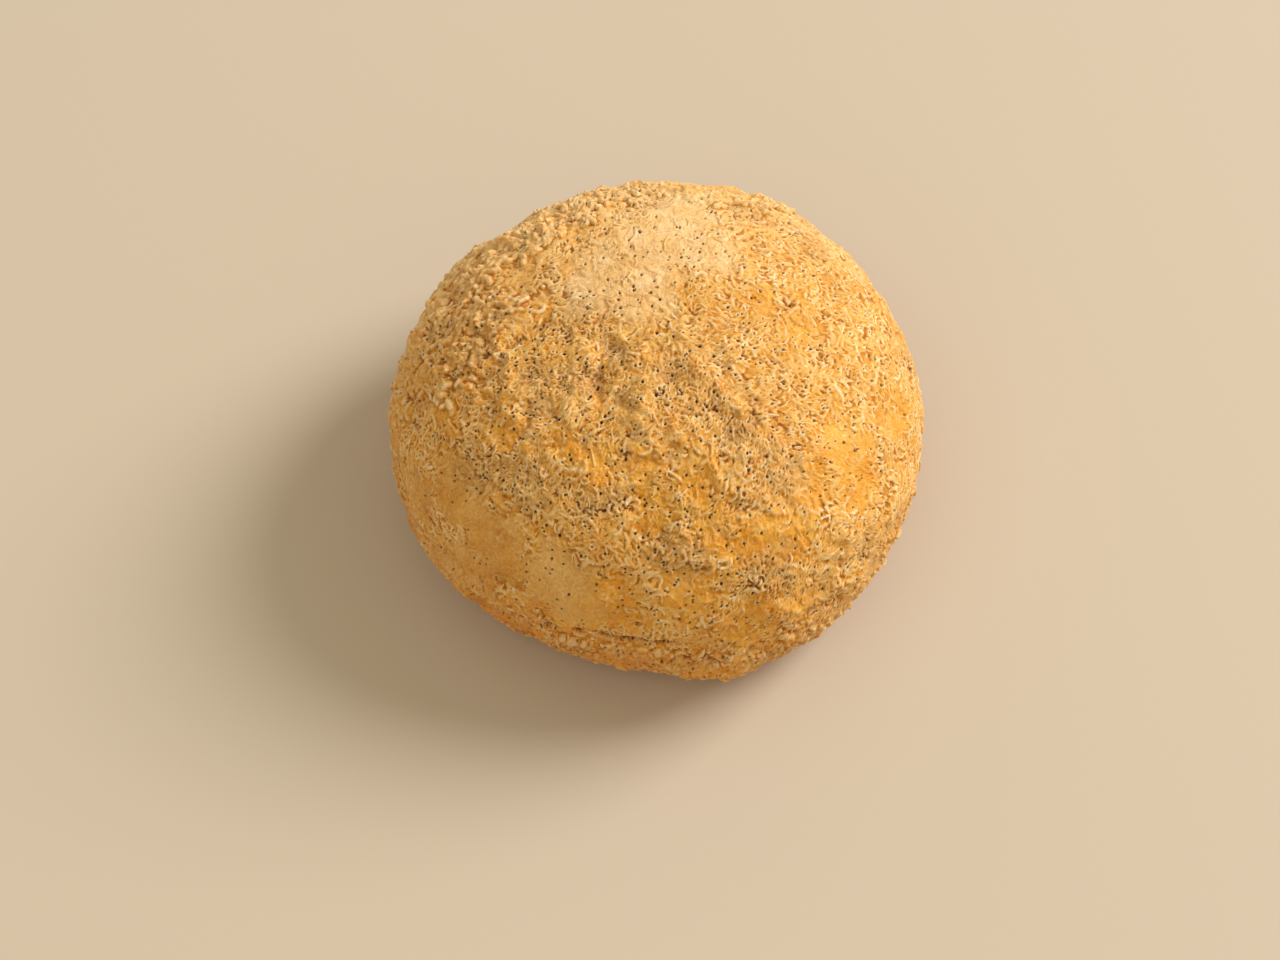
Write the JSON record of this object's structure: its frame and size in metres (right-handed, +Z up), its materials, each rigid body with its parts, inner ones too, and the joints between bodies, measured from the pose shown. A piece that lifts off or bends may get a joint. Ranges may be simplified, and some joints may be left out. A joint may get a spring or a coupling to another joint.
{
  "type": "rice bread",
  "caption": "Round domed rice bread bun with a rough crust and a flat underside, baked in one piece.",
  "frame": {"origin": "centre of the bun's box at the flat underside it rests on", "axes": "+Z up from the underside to the crown, +X to the bun's right, -Y to its front, where the lip swells out over the foot"},
  "size_m": [0.1198, 0.1182, 0.0649],
  "materials": {
    "crust": "rough golden crust"
  },
  "bodies": {
    "root": {"loaf": "crust"}
  },
  "joints": []
}
